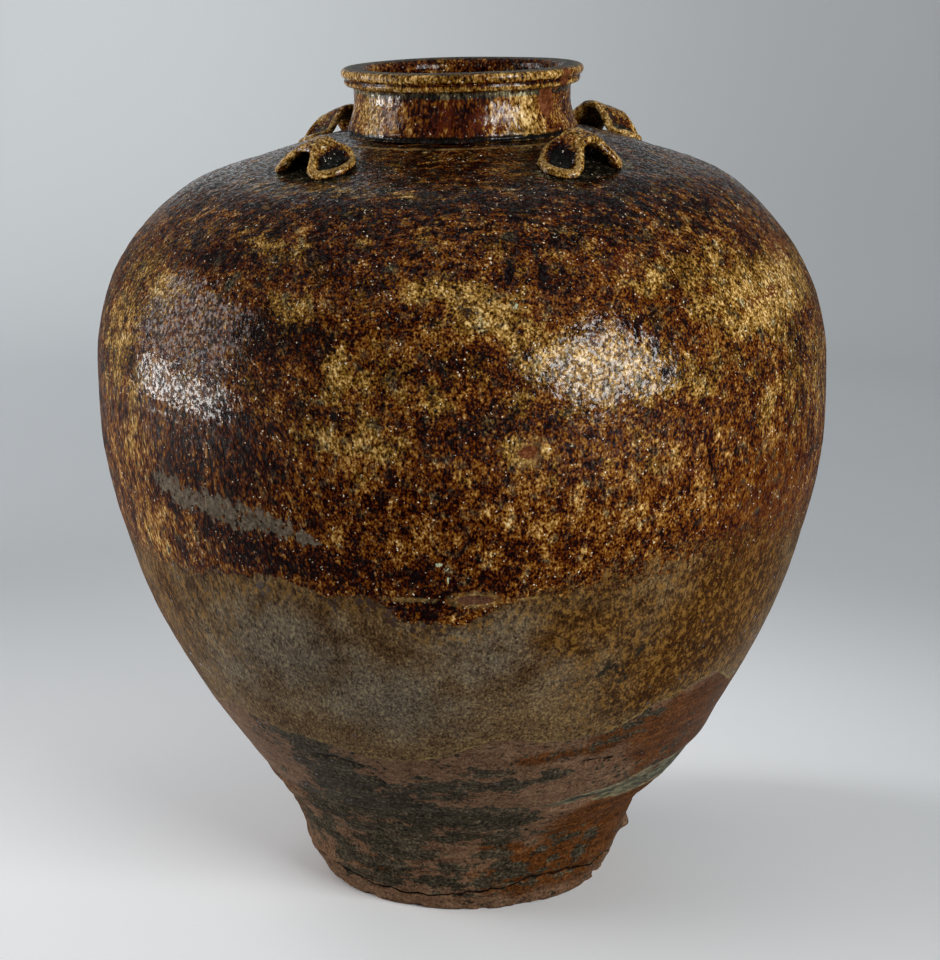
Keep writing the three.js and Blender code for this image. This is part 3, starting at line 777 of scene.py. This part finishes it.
class Tree:
    """Short ways to write a material's nodes."""

    def __init__(self, material):
        material.use_nodes = True
        self.nodes, self.links = material.node_tree.nodes, material.node_tree.links
        self.nodes.clear()

    def node(self, kind, settings=(), **inputs):
        made = self.nodes.new("ShaderNode" + kind)
        for key, value in dict(settings).items():
            setattr(made, key, value)
        for key, value in inputs.items():
            socket = made.inputs[int(key[1:]) if key[0] == "_" else key]
            if isinstance(value, bpy.types.NodeSocket):
                self.links.new(value, socket)
            else:
                socket.default_value = value
        return made

    def field(self, name):
        return self.node("Attribute", {"attribute_name": name}).outputs["Fac"]

    def axis(self, name):
        """The object's own X, Y or Z in metres."""
        return self.node("SeparateXYZ", Vector=self.spots()).outputs[name]

    def maths(self, operation, a, b=0.0, c=0.0):
        return self.node("Math", {"operation": operation}, _0=a, _1=b, _2=c).outputs[0]

    def times(self, a, b):
        return self.maths("MULTIPLY", a, b)

    def times_plus(self, a, b, c):
        return self.maths("MULTIPLY_ADD", a, b, c)

    def step(self, value, low, high, kind="SMOOTHSTEP"):
        """0 below low, 1 above high, smooth between."""
        settings = {"interpolation_type": kind}
        return self.node("MapRange", settings, Value=value, _1=low, _2=high).outputs[0]

    def spots(self):
        return self.node("TexCoord").outputs["Object"]

    def drawn(self):
        """Coordinates whose height is squeezed where the glaze ran, so that patterns draw out."""
        x, y = self.axis("X"), self.axis("Y")
        return self.node("CombineXYZ", X=x, Y=y, Z=self.field("fall")).outputs[0]

    def coordinates(self, at, stretch, shift):
        at = at or self.spots()
        if stretch == (1, 1, 1) and not shift:
            return at
        return self.node("Mapping", Vector=at, Scale=stretch, Location=[shift] * 3).outputs[0]

    def noise(self, size, detail=2.0, rough=0.5, stretch=(1, 1, 1), shift=0.0, at=None):
        """Noise with features about `size` mm across."""
        at = self.coordinates(at, stretch, shift)
        look = {"Scale": 1 / MM / size, "Detail": detail, "Roughness": rough}
        return self.node("TexNoise", Vector=at, **look).outputs[0]

    def cells(self, size, stretch=(1, 1, 1), shift=0.0, at=None):
        """Distance to the middle of the nearest of the cells, which are about `size` mm across."""
        at = self.coordinates(at, stretch, shift)
        return self.node("TexVoronoi", Vector=at, Scale=1 / MM / size).outputs[0]

    def total(self, start, *parts):
        """The start plus each noise, taken about zero and times its gain."""
        value = -sum(gain for _, gain in parts) / 2
        for noise, gain in parts:
            value = self.times_plus(noise, gain, value)
        return self.maths("ADD", value, start)

    def zone(self, name, low, high, *parts):
        """A field with its edge made ragged by noises: 0 below low, 1 above high."""
        return self.step(self.total(self.field(name), *parts), low, high)

    def ramp(self, value, stops):
        """Colours along a value, such as "5:33231a 95:7a5f4a", where 5 stands for 0.05."""
        made = self.node("ValToRGB", Fac=value)
        line = made.color_ramp
        stops = [stop.split(":") for stop in stops.split()]
        while len(line.elements) < len(stops):
            line.elements.new(0.5)
        for element, (at, code) in zip(line.elements, stops):
            element.position = int(at) / 100
            element.color = tone(code)
        return made.outputs[0]

    def mix(self, share, a, b):
        a, b = (tone(v) if isinstance(v, str) else v for v in (a, b))
        return self.node("Mix", {"data_type": "RGBA"}, _0=share, _6=a, _7=b).outputs[2]

    def blend(self, share, a, b):
        return self.node("Mix", {"data_type": "FLOAT"}, _0=share, _2=a, _3=b).outputs[0]


def clay_layer(t):
    """Red-brown body with brushed greenish-black kiln stains: colour and height."""
    fine = t.noise(1.5, 3, 0.65)
    rings = t.noise(2.4, 3, 0.6, (0.07, 0.07, 1.0))
    value = t.total(0.5, (fine, 2.4), (rings, 0.9), (t.noise(9, 3, 0.6), 0.8))
    body = t.ramp(value, "5:33231a 25:4f3829 45:5b4432 70:664e3b 95:7a5f4a")
    rusty = t.ramp(value, "5:220f05 30:3e220a 60:4e2c10 95:6a4120")
    body = t.mix(t.zone("orange", -0.1, 0.5, (t.noise(14, 3), 1.6)), body, rusty)
    brushed = t.noise(7, 5, 0.68, (0.55, 0.55, 1.2))
    stain = t.zone("stain", 0.05, 0.2, (brushed, 6.0), (rings, 2.4))
    dust = t.total(0.0, (t.noise(3.2, 3, 0.62, (0.8, 0.8, 1.2), 3.1), 1.0), (t.noise(34, 2), 0.5))
    stain = t.maths("MAXIMUM", stain, t.step(dust, 0.11, 0.14))
    dark = t.ramp(value, "5:12110b 30:211e16 50:2f2b21 75:403a2e 95:5d5342")
    body = t.mix(t.times(stain, 0.95), body, dark)
    return body, t.total(0.0, (fine, 0.3), (rings, 0.6))


def thin_layer(t, dots, drawn):
    """Thin satin glaze, grey-olive and brown, with short ochre flecks drawn down the wall."""
    flecks = t.noise(1.7, 2, 0.6, shift=1.7, at=drawn)
    clouds = t.noise(20, 4, 0.6)
    value = t.total(0.49, (flecks, 1.1), (dots, 1.3), (clouds, 0.8))
    colour = t.ramp(value, "5:281a0e 35:4a3824 50:58452e 65:655036 95:877049")
    cool = t.ramp(value, "5:2e261e 35:50473a 50:5e5446 65:6c604f 95:897b5e")
    brown = t.ramp(value, "5:140600 35:341b00 50:422604 65:52340c 95:7a5626")
    colour = t.mix(t.zone("cool", -0.25, 0.6, (clouds, 1.6)), colour, cool)
    colour = t.mix(t.zone("warm", -0.3, 0.6, (clouds, -1.2)), colour, brown)
    below = t.step(t.field("thick"), -13, -1)
    runs = t.noise(2.9, 3, 0.65, shift=17.0, at=drawn)
    for low, high, code in ((0.52, 0.62, "86622c"), (0.46, 0.38, "24150a")):
        run = t.times(t.step(runs, low, high), below)
        colour = t.mix(t.times(run, 0.6), colour, code)
    holes = t.step(t.cells(3.0, at=drawn), 0.22, 0.1)
    colour = t.mix(t.times(holes, 0.6), colour, "1c120a")
    smudge = t.zone("smudge", 0.25, 0.6, (t.noise(4, 3, 0.7), 4.4))
    colour = t.mix(t.times(smudge, 0.85), colour, "191a16")
    line = t.total(t.field("thin"), (t.noise(2.2, 3, 0.7), 5.0))
    rim = t.times(t.step(line, -0.4, 0.1), t.step(line, 1.1, 0.5))
    rim = t.times(rim, t.step(t.noise(12, 3), 0.4, 0.6))
    colour = t.mix(t.times(rim, 0.6), colour, "8f7c4c")
    near = t.times(t.step(line, 8, 1), t.step(flecks, 0.5, 0.62))
    colour = t.mix(t.times(near, 0.25), colour, "7d6c42")
    return colour, t.total(0.0, (flecks, 0.3), (dots, 0.16))


def amber_layer(t, dots, drawn):
    """Thick glossy iron glaze: near-black brown with amber, ochre and olive grains.
    Gives the colour, the height of its body and the smoother height of its gloss."""
    low = t.field("low")
    grain = t.noise(1.8, 2, 0.6, at=drawn)
    clots = t.noise(4.6, 2, 0.6, shift=2.2, at=drawn)
    wander = t.noise(10, 3, 0.65, at=drawn)
    gold = t.zone("gold", -0.3, 0.9, (wander, 2.4))
    dark = t.zone("dark", -0.25, 0.7, (wander, -2.4))
    cloud = t.noise(27, 3, 0.6, (0.85, 0.85, 1.2), 4.0)
    level = t.total(0.24, (cloud, 0.35), (clots, 0.75))
    level = t.times_plus(gold, 0.3, level)
    level = t.times_plus(dark, -0.16, level)
    spotted = t.step(t.cells(3.9, shift=3.0, at=drawn), 0.5, 0.14)
    spotted = t.times(spotted, t.step(t.noise(13, 2, shift=6.0), 0.42, 0.6))
    level = t.times_plus(spotted, t.times_plus(low, 0.12, 0.12), level)
    pattern = t.total(0.0, (grain, 7.0), (dots, 8.0))
    # Painted sheen: streaks across the shoulder top's colour stand in for its streaked reflection
    on_top = t.step(t.axis("Z"), *SHEEN_STREAKS_FROM)
    sheen_streaks = t.total(0.0, (t.noise(4.0, 3, 0.7, (0.3, 1, 1), 8.0), 12.0))
    pattern = t.times_plus(t.times(sheen_streaks, on_top), t.step(low, 0.2, 0.1), pattern)
    value = t.times_plus(pattern, t.times_plus(level, 0.12, 0.12), level)
    value = t.blend(t.times(t.step(t.field("warm"), 0.0, 0.8), 0.5), value, 0.33)
    tears = t.zone("dark", 1.25, 1.6, (clots, 1.6))
    value = t.times_plus(tears, -1.0, value)
    ochre = t.ramp(
        value,
        "2:080000 10:220a00 20:3e2202 30:52360a 40:684914 "
        "52:836128 65:a07c40 80:bf9a5c 97:e0c184",
    )
    brown = t.ramp(
        value,
        "2:0c0000 8:200300 14:340e00 20:441900 27:522702 "
        "35:613708 45:754a16 60:936a32 78:b68f54 95:d6b57a",
    )
    tint = t.times_plus(low, -0.8, t.times_plus(gold, 1.2, 0.25))
    tint = t.times_plus(spotted, 0.5, tint)
    tint = t.total(tint, (t.noise(15, 2, 0.6, shift=7.0), 3.0))
    colour = t.mix(t.step(tint, 0.2, 0.9), brown, ochre)
    rust = t.zone("red", -0.1, 0.6, (wander, 2.6))
    colour = t.mix(t.times(rust, t.step(dots, 0.56, 0.46)), colour, "4e1d0c")
    green = t.zone("green", 0.0, 0.7, (t.noise(5, 3), 2.4))
    pool = t.ramp(value, "2:0c0f0a 20:232820 45:3f4638 70:656b57 95:a0a68c")
    colour = t.mix(t.times(green, 0.75), colour, pool)
    # Painted glints: creamy white sparkles painted into the colour, standing in for the lamps'
    # highlights on the bumpy glaze
    painted_glints = t.total(t.noise(1.7, 2, 0.6, shift=5.5), (wander, 0.3))
    painted_sparkles = t.times(t.step(t.cells(3.3, shift=11.0), 0.16, 0.08), t.step(grain, 0.42, 0.62))
    painted_glints = t.maths("MAXIMUM", t.step(painted_glints, 0.7, 0.76), t.times(painted_sparkles, 0.75))
    colour = t.mix(painted_glints, colour, "e2d8be")
    gloss = t.total(0.0, (clots, 0.34), (grain, 0.12))
    return colour, t.times_plus(pattern, 0.04, gloss), gloss


def finish_surface(t, colour, rough, height, coat=0.0, gloss=None):
    """Links the layers to the shader. Bare clay has no coat."""
    # Cracks and drying checks are dark, and so is painted shade in the grooves round the neck and
    # along the lugs' feet
    dark_cracks_and_shade = t.maths("MINIMUM", t.maths("ABSOLUTE", t.field("crack_and_shade_lines")), t.field("check"))
    dark_cracks_and_shade = t.total(dark_cracks_and_shade, (t.noise(5, 3, 0.7, shift=4.0), 1.6))
    colour = t.mix(t.step(dark_cracks_and_shade, 0.8, 0.3), colour, "0b0704")
    bump = t.node("Bump", Strength=1.0, Distance=MM, Height=height).outputs[0]
    shader = t.node("BsdfPrincipled", Normal=bump, Roughness=rough)
    t.links.new(colour, shader.inputs["Base Color"])
    shader.inputs["Specular IOR Level"].default_value = 0.03
    if gloss:
        ripple = t.node("Bump", Strength=1.0, Distance=MM, Height=gloss).outputs[0]
        t.links.new(ripple, shader.inputs["Coat Normal"])
        t.links.new(coat, shader.inputs["Coat Weight"])
        shader.inputs["Coat Roughness"].default_value = 0.05
    t.node("OutputMaterial", Surface=shader.outputs[0])


def clay_surface():
    material = bpy.data.materials.new("foot_clay")
    t = Tree(material)
    colour, height = clay_layer(t)
    finish_surface(t, colour, 0.7, height)
    return material


def glaze_surface(name, whole):
    """The thick coat with its bare and satin patches. Where it isn't whole, it ends over a thin
    coat, and that over clay."""
    material = bpy.data.materials.new(name)
    t = Tree(material)
    drawn = t.drawn()
    dots = t.noise(1.0, 1, 0.5, shift=13.0, at=drawn)
    soft = t.step(t.noise(2.0, 4, 0.7), 0.3, 0.7, "LINEAR")
    wobble = t.total(0.0, (t.noise(2.6, 4, 0.68), 5.0))

    def frayed(field, share):
        """A field with the wobble added to it."""
        return t.times_plus(wobble, share, t.field(field))

    colour, height, gloss = amber_layer(t, dots, drawn)
    on_wall = t.step(t.axis("Z"), *WALL_BELOW)
    worn = t.blend(on_wall, 0.15, 0.08)
    glossy = t.step(t.noise(1.9, 3, 0.7, shift=9.0, at=drawn), 0.47, 0.6)
    glossy = t.blend(glossy, worn, 1.0)
    side_on = t.maths("POWER", t.node("LayerWeight", Blend=0.5).outputs["Facing"], 2.0)
    glossy = t.times(glossy, t.maths("SUBTRACT", 1.0, t.times(side_on, on_wall)))
    glossy = t.times(glossy, t.times_plus(t.step(t.axis("Z"), *DULL_BELOW), -0.8, 1.0))
    satin = t.total(frayed("satin", 0.35), (t.noise(5, 3, 0.65, at=drawn), 4.0))
    satin = t.times(t.step(satin, 0.1, 0.3), t.step(t.cells(3.6), 0.14, 0.3))
    grey = t.ramp(soft, "0:2c251e 50:5b5246 100:7f7462")
    colour = t.mix(t.times(satin, 0.9), colour, grey)
    coat = t.times(t.maths("SUBTRACT", 1.0, satin), glossy)
    bare = t.step(frayed("bare", 0.12), 0.02, 0.14)
    if whole:
        clay = t.ramp(soft, "0:331708 50:5f331a 100:84573a")
        flat_top = t.ramp(soft, "0:1c1e1c 60:35372f 100:6b6350")
        edge = t.field("edge")
        colour = t.mix(t.times(edge, 0.85), colour, flat_top)
        coat = t.times(coat, t.times_plus(edge, -0.8, 1.0))
    else:
        clay, clay_height = clay_layer(t)
        thin, thin_height = thin_layer(t, dots, drawn)
        has_thin = t.step(t.maths("ADD", t.field("thin"), wobble), -0.4, 0.5)
        has_thick = t.step(t.maths("ADD", t.field("thick"), wobble), -0.3, 0.4)
        drops = t.total(t.cells(3.4, (1, 1, 0.8), 2.0), (t.noise(9, 2), 1.4))
        near = t.times(t.step(t.field("thick"), -11, -2), t.field("drops"))
        drops = t.step(t.times_plus(near, -0.4, drops), 0.04, -0.04)
        under = t.mix(has_thin, clay, thin)
        under = t.mix(t.times(drops, 0.85), under, "2c1406")
        colour = t.mix(has_thick, under, colour)
        under_height = t.blend(has_thin, clay_height, thin_height)
        height = t.blend(has_thick, under_height, t.maths("ADD", height, 0.15))
        height = t.times_plus(drops, 0.15, height)
        coat = t.maths("MAXIMUM", t.times(has_thick, coat), t.times(drops, 0.8))
        clay = t.mix(0.55, clay, "4c2415")
    colour = t.mix(bare, colour, clay)
    pale_gold = t.ramp(soft, "0:3f2a12 50:84683a 100:c0a571")
    halo = t.times(t.step(frayed("halo", 0.22), 0.0, 0.7), t.times_plus(bare, -0.8, 0.8))
    colour = t.mix(halo, colour, pale_gold)
    if not whole:
        streak = frayed("streak", 0.12)
        lines = t.step(t.noise(2.2, 4, 0.7, (0.25, 0.25, 1)), 0.32, 0.68, "LINEAR")
        green_tint = t.ramp(lines, "0:1b1d17 50:3f4135 100:74715a")
        pale = t.ramp(lines, "0:3e3a2a 50:706950 100:9f9574")
        green_tint = t.mix(t.step(streak, 0.55, 0.15), green_tint, pale)
        broken = t.step(t.noise(5, 3, 0.7, (0.4, 0.4, 1)), 0.36, 0.44)
        broken = t.times(t.step(streak, 0.0, 0.14), broken)
        colour = t.mix(t.times(broken, 0.92), colour, green_tint)
    colour = t.mix(t.step(frayed("pale", 0.5), 0.1, 0.4), colour, "aab494")
    coat = t.times(coat, t.maths("SUBTRACT", 1.0, bare))
    finish_surface(t, colour, 0.5, height, coat, gloss)
    return material


def build_jar():
    clay = clay_surface()
    thin = glaze_surface("lower_glaze", False)
    amber = glaze_surface("upper_glaze", True)
    add_piece(base_slab(), "base_slab", clay)
    piece = wall("foot_wall_clay", SLAB_TOP, CREASE_SEAM)
    add_piece(piece, "foot_wall", clay)
    piece = wall("lower_wall_glaze", CREASE_SEAM, UPPER_SEAM)
    add_piece(piece, "lower_wall", thin)
    add_piece(shoulder(), "shoulder_wall", amber)
    add_piece(neck(), "neck_and_rim", amber)
    for name, *shape in LUGS:
        add_piece(lug(name, *shape), name, amber)


def backdrop():
    """A pale floor that sweeps up all round the jar."""
    profile = [(0.0, 0.0), (0.3, 0.0), (0.7, 0.0), (FLOOR_FLAT, 0.0)]
    for k in range(1, SWEEP_STEPS + 1):
        bend = math.radians(90 * k / SWEEP_STEPS)
        profile.append((FLOOR_FLAT + SWEEP * math.sin(bend), SWEEP - SWEEP * math.cos(bend)))
    profile.append((FLOOR_FLAT + SWEEP, BACKDROP_TOP))
    verts, faces = [(0.0, 0.0, 0.0)], []
    for k in range(SWEEP_SIDES):
        angle = 2 * math.pi * k / SWEEP_SIDES
        verts += [(r * math.cos(angle), r * math.sin(angle), z) for r, z in profile[1:]]
    rows = len(profile) - 1
    for k in range(SWEEP_SIDES):
        here, there = 1 + k * rows, 1 + (k + 1) % SWEEP_SIDES * rows
        faces.append((0, here, there))
        faces += [(here + i, here + i + 1, there + i + 1, there + i) for i in range(rows - 1)]
    mesh = bpy.data.meshes.new("backdrop")
    mesh.from_pydata(verts, [], faces)
    mesh.shade_smooth()
    sweep = linked("backdrop", mesh)
    material = bpy.data.materials.new("backdrop_paper")
    t = Tree(material)
    aimed = t.node("VectorMath", {"operation": "ADD"}, _0=t.spots(), _1=PAPER_SHIFT)
    far = t.node("VectorMath", {"operation": "LENGTH"}, _0=aimed.outputs["Vector"]).outputs["Value"]
    # Painted light and shade: the paper is palest round the jar, darker away from it, lighter up
    # the far sweep, darker on the far right and darkest at the outskirts
    paper = t.mix(t.step(far, 0.22, 0.72), "eff3f7", "bbc0c4")
    paper = t.mix(t.step(far, 1.0, 2.2), paper, "cfd4d7")
    right = t.step(t.axis("X"), -0.45, 0.6)
    paper = t.mix(t.times(t.step(far, 1.1, 2.0), right), paper, "aeb2b5")
    aside = t.maths("ABSOLUTE", t.axis("X"))
    outskirts = t.maths("MAXIMUM", t.step(t.axis("Y"), -0.15, -0.36), t.step(aside, 0.55, 1.1))
    paper = t.mix(outskirts, paper, "7c7f81")
    shader = t.node("BsdfPrincipled", Roughness=0.9)
    t.links.new(paper, shader.inputs["Base Color"])
    shader.inputs["Specular IOR Level"].default_value = 0.1
    t.node("OutputMaterial", Surface=shader.outputs[0])
    mesh.materials.append(material)


def softbox(name, at, aim, size, power, colour=(1, 1, 1), shown=True):
    """A rectangular lamp at a point, turned to face another. Reflections may not show it."""
    data = bpy.data.lights.new(name, "AREA")
    data.shape = "RECTANGLE"
    data.size, data.size_y = size
    data.energy = power
    data.color = colour
    lamp = linked(name, data)
    lamp.location = at
    lamp.visible_glossy = shown
    lamp.rotation_euler = (Vector(aim) - Vector(at)).to_track_quat("-Z", "Y").to_euler()
    return lamp


def around(angle, rise, far):
    """A point at an angle and elevation from the jar's shoulder, in metres."""
    a, e = math.radians(angle), math.radians(rise)
    flat = far * math.cos(e)
    return (flat * math.sin(a), -flat * math.cos(a), AIM_HEIGHT + far * math.sin(e))


def studio():
    middle = (0, 0, AIM_HEIGHT)
    for name, at, *rest in (
        ("left_softbox", (-92, 17, 1.5), (1.1, 0.7), 8, (1.0, 0.94, 0.92)),
        ("left_low_softbox", (-90, -6, 1.5), (1.0, 0.34), 13, (1.0, 0.97, 0.93)),
        ("left_fill_softbox", (-105, 2, 1.7), (1.2, 1.0), 6.5, (1.0, 0.96, 0.9), False),
        ("right_softbox", (43, 16, 1.8), (1.0, 1.05), 34, (1.0, 0.98, 0.95)),
    ):
        lamp = softbox(name, around(*at), middle, *rest)
    # The last of them, on the right, is turned
    lamp.rotation_euler.rotate_axis("Z", math.radians(RIGHT_LAMP_TURN))
    at, aim = (-1.2, 0.7, 1.9), (-0.6, 2.2, 0.8)
    softbox("backdrop_softbox", at, aim, (1.0, 0.6), 22, shown=False)
    world = bpy.data.worlds.new("studio")
    bpy.context.scene.world = world
    world.use_nodes = True
    background = world.node_tree.nodes["Background"]
    background.inputs["Color"].default_value = (0.93, 0.97, 1.0, 1)
    background.inputs["Strength"].default_value = 0.25


def camera():
    data = bpy.data.cameras.new("camera")
    data.lens = CAMERA_LENS
    data.sensor_width = 36
    data.shift_x, data.shift_y = CAMERA_SHIFT
    data.clip_end = 20
    eye = linked("camera", data)
    eye.location = CAMERA_AT
    eye.rotation_euler = (math.pi / 2 - CAMERA_PITCH, 0, 0)
    bpy.context.scene.camera = eye


build_jar()
backdrop()
studio()
camera()
bpy.context.scene.view_settings.view_transform = "Standard"
